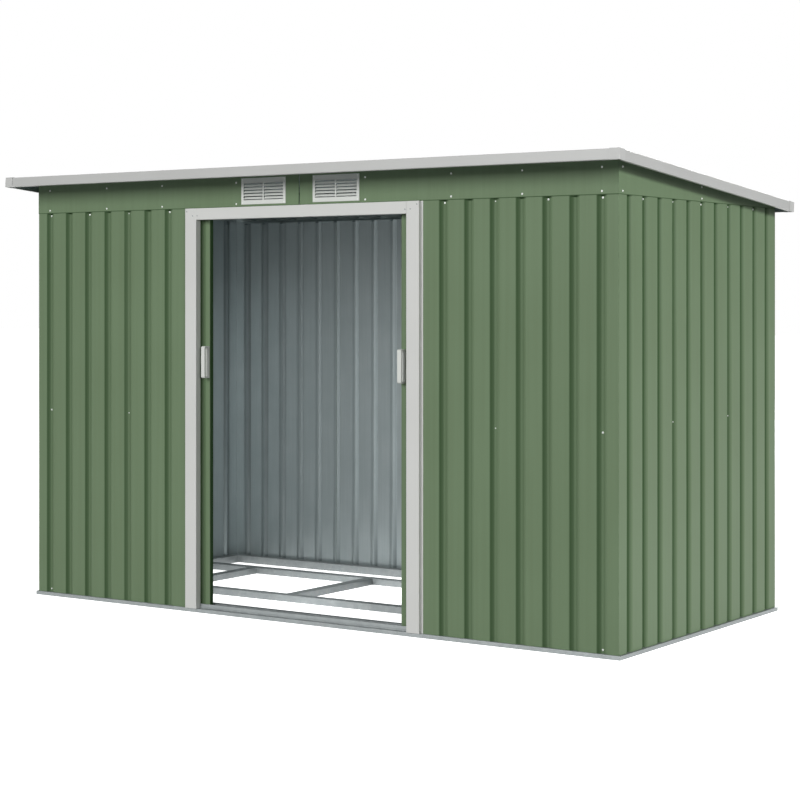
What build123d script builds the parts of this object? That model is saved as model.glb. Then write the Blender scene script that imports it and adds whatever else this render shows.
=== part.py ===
from build123d import *
import os
from math import atan2, cos, sin, tan

# Flat-pack metal storage shed with a roof that falls to the back and two sliding doors.
# Millimetres. The origin is on the ground under the middle of the roof, +X runs along the front
# to the right, +Y to the back and +Z up. The doors stand open, as far apart as they slide.

# Walls: roll-formed sheet with grooves pressed inwards
WALL_LENGTH = 2700.0
WALL_DEPTH = 1298.0
SHEET = 1.0
RIB_WIDTH = 40.0
RIB_FLOOR = 10.0
RIB_DEPTH = 8.0
FRONT_RIBS = 7
CORNER_TO_RIB = 65.0
JAMB_TO_RIB = 97.0
SIDE_RIBS = 11
SIDE_CORNER_TO_RIB = 77.5
BACK_RIBS = 26
BACK_PANEL_RIBS = 5
PANEL_RIBS = 4
PANEL_SEAM = 0.3
WALL_LAP = 12.0
GABLE_TAPER = 15.8

# Base rails and floor bars: folded channels that stand on the ground
RAIL_SHEET = 1.2
LEDGE_HEIGHT = 15.0
LEDGE_PROUD = 8.0
RAIL_UPSTAND = 18.0
RAIL_DEPTH = 50.0
SILL_SHELF_DEPTH = 46.6
SILL_TRACK_RISE = 5.0
SILL_SHELF_RISE = 7.0
SILL_RIDGE_RISE = 4.0
HEM_GAP = 0.8
FLOOR_BAR_WIDTH = 44.0
FLOOR_BAR_HEIGHT = 27.0
MIDDLE_BAR_FROM_FRONT = 428.0
REAR_BAR_FROM_BACK = 285.0
INNER_CROSS_BAR_OFFSET = 382.0
OUTER_CROSS_BAR_FROM_END = 290.0

# Doorway trim: folded jambs and lintel that stand proud of the wall
DOORWAY_WIDTH = 986.0
LINTEL_HEIGHT = 45.0
JAMB_WIDTH = 56.0
JAMB_PROUD = 14.0
JAMB_FLANGE = 9.0
PANEL_EDGE_GAP = 13.0
HEADER_SEAM = 1.6

# Ventilation plates in the header
VENT_WIDTH = 214.0
VENT_SHEET = 2.0
VENT_OFFSET = 170.5
VENT_RISE = 8.5
VENT_TOP_GAP = 14.7
VENT_BORDER = 12.0
VENT_MULLION = 8.0
VENT_BLADES = 6
BLADE_CHORD_share = 0.94
BLADE_SHEET = 1.2
BLADE_TILT_DEGREES = -32.0

# Roof: ribbed sheets in a tray of edge trim with capped corners
ROOF_FRONT_HEIGHT = 1720.0
ROOF_FALL = 121.0
SIDE_OVERHANG = 69.0
FRONT_OVERHANG = 123.0
BACK_OVERHANG = 28.0
FASCIA_HEIGHT = 38.0
FASCIA_FLANGE = 30.0
FASCIA_LIP = 12.0
CAP_SHEET = 1.5
CAP_LAP = 8.5
ROOF_PANELS = 4
ROOF_PANEL_RIBS = 6
ROOF_RIB_HEIGHT = 9.0
BEAM_WIDTH = 32.0
BEAM_GAP = 12.0

# Doors: ribbed sheets folded back at both edges, on glides between a top and a bottom track
DOOR_OVERLAP = 30.0
DOOR_THICKNESS = 20.0
DOOR_FLOOR_GAP = 8.0
DOOR_TOP_GAP = 8.0
DOOR_SHOWN = 43.0
DOOR_MEETING_GAP = 6.0
DOOR_RIBS = 5
DOOR_EDGE_TO_RIB = 78.0
DOOR_RAIL_HEIGHT = 25.0
DOOR_RAIL_LIP = 15.0
RUNNING_CLEARANCE = 6.0
GLIDE_LENGTH = 40.0
GLIDE_INSET = 60.0
GLIDE_SEAT_GAP = 0.3
TRACK_GAP = 2.0
TRACK_HEIGHT = 22.0
TRACK_END = 12.0
HANDLE_HEIGHT = 124.0
HANDLE_WIDTH = 18.0
HANDLE_STANDOFF = 30.0
HANDLE_GRIP = 6.0
HANDLE_PLATE = 3.0
HANDLE_FOOT = 12.0
HANDLE_ROUND = 8.0
HANDLE_SLOT_ROUND = 5.0
HANDLE_EDGE_GAP = 2.0
HANDLE_CENTRE_HEIGHT = 975.0

# One overrun for every cut
CUT_OVERRUN = 5.0

# Roof and walls: the roof's height and fall set the walls' place and the height of the header's edge
roof_run = FRONT_OVERHANG + WALL_DEPTH + BACK_OVERHANG
roof_slope = atan2(ROOF_FALL, roof_run)
roof_length = WALL_LENGTH + 2 * SIDE_OVERHANG
roof_depth = roof_run / cos(roof_slope)
edge_height = FASCIA_HEIGHT + CAP_SHEET
roof_edge_y = (edge_height * sin(roof_slope) - roof_run) / 2
front_y = roof_edge_y + FRONT_OVERHANG
back_y = front_y + WALL_DEPTH
middle_y = (front_y + back_y) / 2
pan_depth = CAP_SHEET + SHEET + ROOF_RIB_HEIGHT + SHEET


def roof_underside(y):
    """Height of the roof sheet's flat underside over a line at depth y."""
    return ROOF_FRONT_HEIGHT - (y - roof_edge_y) * tan(roof_slope) - pan_depth / cos(roof_slope)


header_bottom = roof_underside(back_y) - GABLE_TAPER
header_top = roof_underside(front_y)
wall_top = header_bottom + WALL_LAP

# Doorway and doors, from the front wall's face to the back and from the header and the sill inwards
rib_back = RIB_DEPTH + SHEET
hem_back = rib_back + 2 * RAIL_SHEET + HEM_GAP
door_front = hem_back + RUNNING_CLEARANCE
door_back = door_front + DOOR_THICKNESS
ridge_front = door_back + RUNNING_CLEARANCE
ridge_back = ridge_front + 2 * RAIL_SHEET + HEM_GAP
sill_depth = ridge_back + SILL_SHELF_DEPTH
rail_top = LEDGE_HEIGHT + RAIL_UPSTAND
sill_track = LEDGE_HEIGHT + SILL_TRACK_RISE
sill_shelf = sill_track + SILL_SHELF_RISE
sill_ridge = sill_shelf + SILL_RIDGE_RISE
doorway_top = header_bottom - LINTEL_HEIGHT
track_top = header_bottom - TRACK_GAP
track_bottom = track_top - TRACK_HEIGHT
door_bottom = sill_track + DOOR_FLOOR_GAP
door_top = track_bottom - DOOR_TOP_GAP
jamb_inner_x = DOORWAY_WIDTH / 2
jamb_outer_x = jamb_inner_x + JAMB_WIDTH
door_width = jamb_inner_x - DOOR_MEETING_GAP / 2 + DOOR_OVERLAP
door_edge = jamb_inner_x - DOOR_SHOWN

# Each wall is drawn facing -Y with its outer face on y = 0, then turned to its side of the shed
FRONT = Pos(0, front_y, 0)
BACK = Pos(0, back_y, 0) * Rot(Z=180)
RIGHT = Pos(WALL_LENGTH / 2, middle_y, 0) * Rot(Z=90)
LEFT = Pos(-WALL_LENGTH / 2, middle_y, 0) * Rot(Z=-90)
ROOF = Plane(
    origin=(0, roof_edge_y, ROOF_FRONT_HEIGHT),
    x_dir=(1, 0, 0),
    z_dir=(0, sin(roof_slope), cos(roof_slope)),
)

nodes = {}


def mirrored(shape):
    """The same piece on the other side of the shed's middle plane."""
    return mirror(shape, about=Plane.YZ)


def bent_sheet(points, thickness):
    """Section of a folded sheet: a line of bends, thickened to its left (or right if negative)."""
    corners = [Vector(*point) for point in points]
    headings = [(b - a).normalized() for a, b in zip(corners, corners[1:])]
    lefts = [Vector(-heading.Y, heading.X) for heading in headings]
    lefts = [lefts[0], *lefts, lefts[-1]]
    inner = [
        corner + (before + after) * (thickness / (1 + before.dot(after)))
        for corner, before, after in zip(corners, lefts, lefts[1:])
    ]
    return make_face(Polyline(*corners, *reversed(inner), close=True))


def along_x(section, start, end):
    """Extrudes a section drawn in (y, z) from x = start to x = end."""
    return Pos(start, 0, 0) * extrude(Plane.YZ * section, amount=end - start)


def along_y(section, start, end):
    """Extrudes a section drawn in (x, z) from y = start to y = end."""
    return Pos(0, start, 0) * extrude(Plane.XZ * section, amount=end - start, dir=(0, 1, 0))


def along_z(section, start, end):
    """Extrudes a plan section from z = start to z = end."""
    return Pos(0, 0, start) * extrude(section, amount=end - start)


def block(low, high):
    """Box between two corners."""
    size = [b - a for a, b in zip(low, high)]
    return Pos(*low) * Box(*size, align=(Align.MIN, Align.MIN, Align.MIN))


def spread(first, last, count):
    """Evenly spaced places, both ends included."""
    step = (last - first) / (count - 1)
    return [first + step * index for index in range(count)]


def ribbed_line(start, end, centres, depth):
    """Line of a ribbed sheet from start to end: flat, with a flat-floored groove at each centre."""
    slope_run = (RIB_WIDTH - RIB_FLOOR) / 2

    def depth_at(x):
        reach = max((RIB_WIDTH / 2 - abs(x - centre)) / slope_run for centre in centres)
        return depth * min(max(reach, 0), 1)

    offsets = (-RIB_WIDTH / 2, -RIB_FLOOR / 2, RIB_FLOOR / 2, RIB_WIDTH / 2)
    bends = [centre + offset for centre in centres for offset in offsets]
    stops = [start, *(bend for bend in bends if start < bend < end), end]
    return [(x, depth_at(x)) for x in stops]


def wall_panels(start, end, centres, joints, top):
    """A wall of ribbed panels, side by side, that meet in the grooves named by joints."""
    cuts = [start, *(centres[joint] for joint in joints), end]
    panels = []
    for left, right in zip(cuts, cuts[1:]):
        panel_start = left if left == start else left + PANEL_SEAM / 2
        panel_end = right if right == end else right - PANEL_SEAM / 2
        line = ribbed_line(panel_start, panel_end, centres, RIB_DEPTH)
        panels.append(along_z(bent_sheet(line, SHEET), LEDGE_HEIGHT, top))
    return Compound(children=panels)


def base_rail(inner_line, depth, length):
    """Base channel under one wall, mitred at both ends: an outer ledge, an upstand behind the wall
    sheet's grooves, then the inner line, which ends on the ground."""
    line = [
        (-LEDGE_PROUD, 0),
        (-LEDGE_PROUD, LEDGE_HEIGHT),
        (rib_back, LEDGE_HEIGHT),
        (rib_back, rail_top),
        *inner_line,
        (depth, 0),
    ]
    half = length / 2
    channel = along_x(bent_sheet(line, -RAIL_SHEET), -half - LEDGE_PROUD, half + LEDGE_PROUD)
    plan = Polyline(
        (-half - LEDGE_PROUD, -LEDGE_PROUD),
        (half + LEDGE_PROUD, -LEDGE_PROUD),
        (half - depth, depth),
        (-half + depth, depth),
        close=True,
    )
    return channel & along_z(make_face(plan), 0, rail_top)


# Base rails. The front one is the sill: its double upstand and the ridge behind it guide the doors.
sill_line = [
    (hem_back, rail_top),
    (hem_back, sill_track),
    (ridge_front, sill_track),
    (ridge_front, sill_ridge),
    (ridge_back, sill_ridge),
    (ridge_back, sill_shelf),
    (sill_depth, sill_shelf),
]
shelf_line = [(RAIL_DEPTH, rail_top)]
side_rail = base_rail(shelf_line, RAIL_DEPTH, WALL_DEPTH)
nodes["base_rail_front"] = FRONT * base_rail(sill_line, sill_depth, WALL_LENGTH)
nodes["base_rail_back"] = BACK * base_rail(shelf_line, RAIL_DEPTH, WALL_LENGTH)
nodes["base_rail_left"] = LEFT * side_rail
nodes["base_rail_right"] = RIGHT * side_rail

# Floor bars: two long channels from side rail to side rail, with cross bars between them
half_bar = FLOOR_BAR_WIDTH / 2
bar_section = bent_sheet(
    [(-half_bar, 0), (-half_bar, FLOOR_BAR_HEIGHT), (half_bar, FLOOR_BAR_HEIGHT), (half_bar, 0)],
    -RAIL_SHEET,
)
bar_end = WALL_LENGTH / 2 - RAIL_DEPTH
long_bar = along_x(bar_section, -bar_end, bar_end)
middle_bar_y = front_y + MIDDLE_BAR_FROM_FRONT
rear_bar_y = back_y - REAR_BAR_FROM_BACK
nodes["floor_bar_middle"] = Pos(0, middle_bar_y, 0) * long_bar
nodes["floor_bar_rear"] = Pos(0, rear_bar_y, 0) * long_bar
cross_bar = along_y(bar_section, middle_bar_y + half_bar, rear_bar_y - half_bar)
outer_cross_bar = bar_end - OUTER_CROSS_BAR_FROM_END
cross_bar_places = [
    -outer_cross_bar,
    -INNER_CROSS_BAR_OFFSET,
    INNER_CROSS_BAR_OFFSET,
    outer_cross_bar,
]
for number, place in enumerate(cross_bar_places, start=1):
    nodes[f"floor_cross_bar_{number}"] = Pos(place, 0, 0) * cross_bar

# Front walls beside the doorway, from the corner to under the jamb
front_centres = spread(-WALL_LENGTH / 2 + CORNER_TO_RIB, -jamb_outer_x - JAMB_TO_RIB, FRONT_RIBS)
front_end = -jamb_inner_x - SHEET - PANEL_EDGE_GAP
front_left = FRONT * wall_panels(-WALL_LENGTH / 2, front_end, front_centres, [PANEL_RIBS], wall_top)
nodes["front_wall_left"] = front_left
nodes["front_wall_right"] = mirrored(front_left)

# Side walls between the front and back sheets, three panels each
side_end = WALL_DEPTH / 2 - SHEET - PANEL_SEAM
side_rib_end = WALL_DEPTH / 2 - SIDE_CORNER_TO_RIB
side_centres = spread(-side_rib_end, side_rib_end, SIDE_RIBS)
side_joints = [PANEL_RIBS - 1, SIDE_RIBS - PANEL_RIBS]
side_wall = wall_panels(-side_end, side_end, side_centres, side_joints, wall_top)
nodes["left_wall"] = LEFT * side_wall
nodes["right_wall"] = RIGHT * side_wall

# Back wall, up to the roof
back_rib_end = WALL_LENGTH / 2 - CORNER_TO_RIB
back_centres = spread(-back_rib_end, back_rib_end, BACK_RIBS)
back_joints = range(BACK_PANEL_RIBS, BACK_RIBS - 1, BACK_PANEL_RIBS)
nodes["back_wall"] = BACK * wall_panels(
    -WALL_LENGTH / 2, WALL_LENGTH / 2, back_centres, back_joints, roof_underside(back_y)
)

# Front header in two halves, over the wall panels' top edges, with a window behind each vent
vent_height = header_top - VENT_TOP_GAP - header_bottom - VENT_RISE
vent_centre = header_bottom + VENT_RISE + vent_height / 2
window_width = (VENT_WIDTH - VENT_MULLION) / 2 - VENT_BORDER
window_height = vent_height - 2 * VENT_BORDER
window_span = VENT_WIDTH - 2 * VENT_BORDER
header_face_y = front_y - SHEET
header = block(
    (-WALL_LENGTH / 2 - SHEET, header_face_y, header_bottom),
    (-HEADER_SEAM / 2, front_y, header_top),
)
header -= Pos(-VENT_OFFSET, front_y, vent_centre) * Box(window_span, CUT_OVERRUN, window_height)
nodes["front_header_left"] = header
nodes["front_header_right"] = mirrored(header)

# Side gables: flat wedges over the side walls that follow the roof's fall
gable_outline = Polyline(
    (front_y, header_bottom),
    (back_y, header_bottom),
    (back_y, roof_underside(back_y)),
    (front_y, header_top),
    close=True,
)
gable = along_x(make_face(gable_outline), WALL_LENGTH / 2, WALL_LENGTH / 2 + SHEET)
nodes["right_gable"] = gable
nodes["left_gable"] = mirrored(gable)

# Vents: a bordered plate with a middle bar and two columns of sloping louvre blades
vent = Box(VENT_WIDTH, VENT_SHEET, vent_height)
blade_pitch = window_height / VENT_BLADES
blade = Rot(X=BLADE_TILT_DEGREES) * Box(window_width, BLADE_SHEET, BLADE_CHORD_share * blade_pitch)
blade_end = (window_height - blade_pitch) / 2
for column in (-1, 1):
    column_x = column * (VENT_MULLION + window_width) / 2
    vent -= Pos(column_x, 0, 0) * Box(window_width, CUT_OVERRUN, window_height)
    vent += [Pos(column_x, 0, height) * blade for height in spread(-blade_end, blade_end, VENT_BLADES)]
left_vent = Pos(-VENT_OFFSET, header_face_y - VENT_SHEET / 2, vent_centre) * vent
nodes["vent_left"] = left_vent
nodes["vent_right"] = mirrored(left_vent)

# Door frame: jambs that wrap the wall panels' edges, notched over the sill's upstand and round the
# top track, and a lintel between them under the header
jamb_section = bent_sheet(
    [
        (-jamb_outer_x - JAMB_FLANGE, -SHEET),
        (-jamb_outer_x, -SHEET),
        (-jamb_outer_x, -JAMB_PROUD),
        (-jamb_inner_x, -JAMB_PROUD),
        (-jamb_inner_x, hem_back),
    ],
    SHEET,
)
jamb = along_z(jamb_section, LEDGE_HEIGHT, header_bottom)
notch_x = (-jamb_inner_x - CUT_OVERRUN, -jamb_inner_x + CUT_OVERRUN)
notch_end = hem_back + CUT_OVERRUN
notch_top = header_bottom + CUT_OVERRUN
jamb -= block((notch_x[0], rib_back, 0), (notch_x[1], notch_end, rail_top))
jamb -= block((notch_x[0], rib_back, track_bottom), (notch_x[1], notch_end, notch_top))
nodes["left_jamb"] = FRONT * jamb
nodes["right_jamb"] = mirrored(FRONT * jamb)
lintel_section = bent_sheet(
    [
        (0, header_bottom),
        (-JAMB_PROUD, header_bottom),
        (-JAMB_PROUD, doorway_top),
        (hem_back, doorway_top),
    ],
    SHEET,
)
nodes["lintel"] = FRONT * along_x(lintel_section, -jamb_inner_x, jamb_inner_x)

# Top door track: a channel open below, fixed to the grooves of the front walls
track_end = door_edge + door_width + TRACK_END
track_back = door_back + RUNNING_CLEARANCE + RAIL_SHEET
track_section = bent_sheet(
    [
        (rib_back, track_bottom),
        (rib_back, track_top),
        (track_back, track_top),
        (track_back, track_bottom),
    ],
    -RAIL_SHEET,
)
nodes["door_track_top"] = FRONT * along_x(track_section, -track_end, track_end)

# Roof sheets: ribs that run down the slope, under the flanges of the edge trim
sheet_end = roof_length / 2 - CAP_SHEET - SHEET
sheet_width = 2 * sheet_end / ROOF_PANELS
rib_step = sheet_width / ROOF_PANEL_RIBS
roof_panels = []
for index in range(ROOF_PANELS):
    left = -sheet_end + sheet_width * index
    right = left + sheet_width
    centres = spread(left + rib_step / 2, right - rib_step / 2, ROOF_PANEL_RIBS)
    line = ribbed_line(
        left + (PANEL_SEAM / 2 if index else 0),
        right - (PANEL_SEAM / 2 if index < ROOF_PANELS - 1 else 0),
        centres,
        ROOF_RIB_HEIGHT,
    )
    section = Pos(0, -pan_depth) * bent_sheet(line, SHEET)
    roof_panels.append(along_y(section, CAP_SHEET + SHEET, roof_depth - CAP_SHEET - SHEET))
nodes["roof_panels"] = ROOF * Compound(children=roof_panels)

# Roof beam: a channel under the middle of the sheets, from gable to gable
half_beam = BEAM_WIDTH / 2
beam_y = roof_edge_y + roof_run / 2
beam_height = (roof_underside(beam_y) - wall_top - BEAM_GAP) * cos(roof_slope)
beam_section = bent_sheet(
    [
        (-half_beam, -pan_depth - beam_height),
        (-half_beam, -pan_depth),
        (half_beam, -pan_depth),
        (half_beam, -pan_depth - beam_height),
    ],
    -RAIL_SHEET,
)
beam = along_x(beam_section, -WALL_LENGTH / 2, WALL_LENGTH / 2)
nodes["roof_beam"] = ROOF * (Pos(0, roof_depth / 2, 0) * beam)

# Edge trim round the roof: a flange over the sheets, a face and a lip turned in below
fascia_section = bent_sheet(
    [
        (CAP_SHEET + FASCIA_LIP, -edge_height),
        (CAP_SHEET, -edge_height),
        (CAP_SHEET, -CAP_SHEET),
        (CAP_SHEET + FASCIA_FLANGE, -CAP_SHEET),
    ],
    -SHEET,
)
long_end = roof_length / 2 - CAP_SHEET
front_fascia = along_x(fascia_section, -long_end, long_end)
back_fascia = Pos(0, roof_depth, 0) * mirror(front_fascia, about=Plane.XZ)
side_start = CAP_SHEET + FASCIA_FLANGE
left_fascia = Pos(-roof_length / 2, 0, 0) * along_y(fascia_section, side_start, roof_depth - side_start)
nodes["fascia_front"] = ROOF * front_fascia
nodes["fascia_back"] = ROOF * back_fascia
nodes["fascia_left"] = ROOF * left_fascia
nodes["fascia_right"] = mirrored(ROOF * left_fascia)

# Corner caps over the ends of the trim
cap_leg = side_start + CAP_LAP
cap = block((0, 0, -edge_height), (cap_leg, cap_leg, 0))
cap_end = cap_leg + CUT_OVERRUN
cap -= block((CAP_SHEET, CAP_SHEET, -edge_height - CUT_OVERRUN), (cap_end, cap_end, -CAP_SHEET))
front_cap = Pos(-roof_length / 2, 0, 0) * cap
back_cap = Pos(0, roof_depth, 0) * mirror(front_cap, about=Plane.XZ)
left_caps = [front_cap, back_cap]
nodes["roof_corner_caps"] = ROOF * Compound(children=[*left_caps, *(mirrored(one) for one in left_caps)])

# Left door: a ribbed sheet with its edges folded back and a rail behind its top and its bottom
door_left = -door_edge - door_width
door_right = -door_edge
door_centres = spread(door_left + DOOR_EDGE_TO_RIB, door_right - DOOR_EDGE_TO_RIB, DOOR_RIBS)
door_line = ribbed_line(door_left, door_right, door_centres, RIB_DEPTH)
door_face = [(x, door_front + depth) for x, depth in door_line]
door_section = bent_sheet([(door_left, door_back), *door_face, (door_right, door_back)], SHEET)
door_panel = along_z(door_section, door_bottom, door_top)
rail_front = door_front + rib_back
top_rail_section = bent_sheet(
    [
        (rail_front, door_top - DOOR_RAIL_HEIGHT),
        (rail_front, door_top),
        (door_back, door_top),
        (door_back, door_top - DOOR_RAIL_LIP),
    ],
    -RAIL_SHEET,
)
bottom_rail_section = bent_sheet(
    [
        (rail_front, door_bottom + DOOR_RAIL_HEIGHT),
        (rail_front, door_bottom),
        (door_back, door_bottom),
        (door_back, door_bottom + DOOR_RAIL_LIP),
    ],
    RAIL_SHEET,
)
door_rails = Compound(
    children=[
        along_x(section, door_left + SHEET, door_right - SHEET)
        for section in (top_rail_section, bottom_rail_section)
    ]
)

# Glides: shoes that rest in the sill's track and guides that stand up into the top track
guide_top = track_top - RAIL_SHEET - RUNNING_CLEARANCE
glides = []
for glide_x in (door_left + GLIDE_INSET, door_right - GLIDE_INSET - GLIDE_LENGTH):
    glides.append(
        block(
            (glide_x, rail_front, sill_track + GLIDE_SEAT_GAP),
            (glide_x + GLIDE_LENGTH, door_back, door_bottom),
        )
    )
    glides.append(
        block(
            (glide_x, rail_front, door_top),
            (glide_x + GLIDE_LENGTH, door_back, guide_top),
        )
    )
door_glides = Compound(children=glides)

# Pull handle: a plate on the door's flat edge, two feet and a grip that stands off it
handle_front = door_front - HANDLE_STANDOFF
handle_middle = door_front - HANDLE_STANDOFF / 2
slot_front = handle_front + HANDLE_GRIP
slot_back = door_front - HANDLE_PLATE
handle_outline = Pos(handle_middle, HANDLE_CENTRE_HEIGHT) * Rectangle(HANDLE_STANDOFF, HANDLE_HEIGHT)
handle_outline = fillet(handle_outline.vertices().group_by(Axis.X)[0], HANDLE_ROUND)
slot = Pos((slot_front + slot_back) / 2, HANDLE_CENTRE_HEIGHT) * RectangleRounded(
    slot_back - slot_front, HANDLE_HEIGHT - 2 * HANDLE_FOOT, HANDLE_SLOT_ROUND
)
handle_end = door_right - HANDLE_EDGE_GAP
handle = along_x(handle_outline - slot, handle_end - HANDLE_WIDTH, handle_end)

door_pieces = {"panel": door_panel, "rails": door_rails, "glides": door_glides, "handle": handle}
for name, piece in door_pieces.items():
    nodes[f"left_door_{name}"] = FRONT * piece
    nodes[f"right_door_{name}"] = mirrored(FRONT * piece)

os.makedirs("parts", exist_ok=True)
for name, shape in nodes.items():
    export_step(shape, f"parts/{name}.step")
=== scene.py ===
from functools import partial
from math import atan2, cos, pi, radians, sin

import bpy
import numpy as np
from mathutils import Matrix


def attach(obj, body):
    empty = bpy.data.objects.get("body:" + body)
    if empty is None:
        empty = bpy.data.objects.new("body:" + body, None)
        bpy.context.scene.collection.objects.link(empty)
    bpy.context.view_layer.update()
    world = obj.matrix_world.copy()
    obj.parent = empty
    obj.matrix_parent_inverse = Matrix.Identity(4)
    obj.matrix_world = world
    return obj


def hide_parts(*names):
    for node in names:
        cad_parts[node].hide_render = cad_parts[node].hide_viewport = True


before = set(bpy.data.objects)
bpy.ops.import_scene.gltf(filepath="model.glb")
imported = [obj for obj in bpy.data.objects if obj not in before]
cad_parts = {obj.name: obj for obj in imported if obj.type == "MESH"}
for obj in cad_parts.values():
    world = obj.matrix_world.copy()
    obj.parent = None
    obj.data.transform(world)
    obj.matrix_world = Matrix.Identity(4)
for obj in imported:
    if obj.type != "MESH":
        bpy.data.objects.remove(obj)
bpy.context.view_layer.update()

# Base rails: four channels folded from hot-dip galvanised sheet, mitred at the corners, that lie on the
# ground. The walls stand on their outer ledge and are screwed to the upstand behind it. The front rail is
# the sill: its double upstand and the ridge behind it form the track that the doors' shoes slide in.
MM = 0.001
HALF_LENGTH = 1350.0
FRONT_Y = -599.856
BACK_Y = 698.144
MIDDLE_Y = (FRONT_Y + BACK_Y) / 2
HALF_DEPTH = (BACK_Y - FRONT_Y) / 2
LEDGE_HEIGHT = 15.0
RAIL_TOP = 33.0
RAIL_DEPTH = 50.0
RAIL_SHEET = 1.2
GROOVE_BACK = 9.0
LEDGE_OUT = 8.0
UPSTAND_BACK = 12.2
SILL_TRACK = 20.0
TRACK_FAR_SIDE = 44.2
RIDGE_TOP = 31.0
RIDGE_BACK = 47.4
SILL_SHELF = 27.0
SILL_DEPTH = 94.0


def linear(hex_colour):
    """An sRGB hex colour as linear RGBA: c / 12.92 in the dark part, and above it
    ((c + 0.055) / 1.055) ** 2.4."""
    channels = np.array([int(hex_colour[i : i + 2], 16) for i in (1, 3, 5)]) / 255
    bright = ((channels + 0.055) / 1.055) ** 2.4
    return (*np.where(channels <= 0.04045, channels / 12.92, bright).tolist(), 1.0)


def repeats(size_mm):
    """Scale of a pattern on Object coordinates, which are in metres, for a feature of this size."""
    return 1000.0 / size_mm


def add(tree, kind, inputs, **settings):
    """Adds one node. Settings are its properties; inputs are values, or outputs that get linked."""
    node = tree.nodes.new("ShaderNode" + kind)
    for name, value in settings.items():
        setattr(node, name, value)
    for socket, value in inputs.items():
        if isinstance(value, bpy.types.NodeSocket):
            tree.links.new(value, node.inputs[socket])
        else:
            node.inputs[socket].default_value = value
    return node


def new_material(name):
    """A node material, its tree, and the Object coordinates that its patterns lie on."""
    material = bpy.data.materials.new(name)
    material.use_nodes = True
    tree = material.node_tree
    tree.nodes.clear()
    return material, tree, add(tree, "TexCoord", {}).outputs["Object"]


def bent(points, radius=2.0, steps=5):
    """A folded line. Each inner corner P becomes the quadratic curve P + (1 - s)^2 A + s^2 B, where A and B
    reach back and on along its two legs by the bend's radius, or by less on a short leg."""
    points = np.asarray(points, float)
    corner = points[1:-1, None]
    back = points[:-2, None] - corner
    on = points[2:, None] - corner
    back_length = np.linalg.norm(back, axis=-1, keepdims=True)
    on_length = np.linalg.norm(on, axis=-1, keepdims=True)
    reach = np.minimum(radius, 0.45 * np.minimum(back_length, on_length))
    s = np.linspace(0, 1, steps)[None, :, None]
    curve = corner + back / back_length * reach * (1 - s) ** 2 + on / on_length * reach * s**2
    return np.concatenate([points[:1], curve.reshape(-1, 2), points[-1:]])


def side_vectors(line):
    """Left-hand vectors of a line's points, long enough that both neighbouring legs move by one."""
    step = np.diff(line, axis=0)
    step = step / np.linalg.norm(step, axis=1, keepdims=True)
    left = np.stack([-step[:, 1], step[:, 0]], axis=1)
    before = np.concatenate([left[:1], left])
    after = np.concatenate([left, left[-1:]])
    return (before + after) / (1 + (before * after).sum(axis=1, keepdims=True))


def sheet_part(outer, inner, keep=None):
    """One closed sheet from two like grids of points, its outside and its inside. Each kept cell gives a quad
    on both grids, and an edge that belongs to one cell only is closed by a quad between the two."""
    rows, columns = outer.shape[:2]
    layer = rows * columns
    number = np.arange(layer).reshape(rows, columns)
    cells = np.stack([number[:-1, :-1], number[:-1, 1:], number[1:, 1:], number[1:, :-1]], axis=-1)
    cells = cells.reshape(-1, 4) if keep is None else cells[keep]
    edges = np.stack([cells, np.roll(cells, -1, axis=1)], axis=-1).reshape(-1, 2)
    keys = edges.min(axis=1) * layer + edges.max(axis=1)
    _, place, count = np.unique(keys, return_inverse=True, return_counts=True)
    first, second = edges[count[place] == 1].T
    rim = np.stack([second, first, first + layer, second + layer], axis=1)
    faces = np.concatenate([cells, cells[:, ::-1] + layer, rim])
    sides = np.repeat([0, 1, 0], [len(cells), len(cells), len(rim)])
    used, faces = np.unique(faces, return_inverse=True)
    faces = faces.reshape(-1, 4)
    points = np.concatenate([outer.reshape(-1, 3), inner.reshape(-1, 3)])[used]
    return points, facing_out(points, faces), sides


def facing_out(points, faces):
    """The faces of a closed shell, all turned round if its signed volume is negative."""
    a, b, c, d = np.moveaxis(points[faces] - points.mean(axis=0), 1, 0)
    volume = (a * np.cross(b, c) + a * np.cross(c, d)).sum()
    return faces if volume > 0 else faces[:, ::-1]


def folded(line, thickness, runs, axes, place, mitre=0.0, keep=None):
    """A folded sheet: a line, and the line one thickness to its left, both carried straight along the runs.
    Axes says which axis takes the run and which the line's two coordinates; mitre slopes the end cuts
    towards the middle."""
    runs = np.asarray(runs, float)[:, None]
    grids = []
    for profile in (line, line + side_vectors(line) * thickness):
        grid = np.empty((len(runs), len(line), 3))
        grid[..., axes[0]] = runs - mitre * np.sign(runs) * profile[:, 0]
        grid[..., axes[1]] = profile[:, 0]
        grid[..., axes[2]] = profile[:, 1]
        grids.append(place(grid))
    return sheet_part(*grids, keep)


def piece(name, parts, *materials):
    """Joins parts (points in mm, faces, material numbers) into one object. Faces are smooth, edges sharper
    than 32 degrees stay sharp, and normals are weighted by area so that flats beside a bend stay flat."""
    starts = np.cumsum([0] + [len(points) for points, _, _ in parts])
    faces = [face for (_, part, _), start in zip(parts, starts) for face in (part + start).tolist()]
    mesh = bpy.data.meshes.new(name)
    mesh.from_pydata(np.concatenate([part[0] for part in parts]) * MM, [], faces)
    mesh.polygons.foreach_set("material_index", np.concatenate([part[2] for part in parts]))
    mesh.polygons.foreach_set("use_smooth", np.ones(len(faces), bool))
    mesh.set_sharp_from_angle(angle=radians(32))
    for material in materials:
        mesh.materials.append(material)
    made = bpy.data.objects.new(name, mesh)
    bpy.context.scene.collection.objects.link(made)
    weighted = made.modifiers.new("flat_beside_bends", "WEIGHTED_NORMAL")
    weighted.keep_sharp = True
    return made


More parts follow.
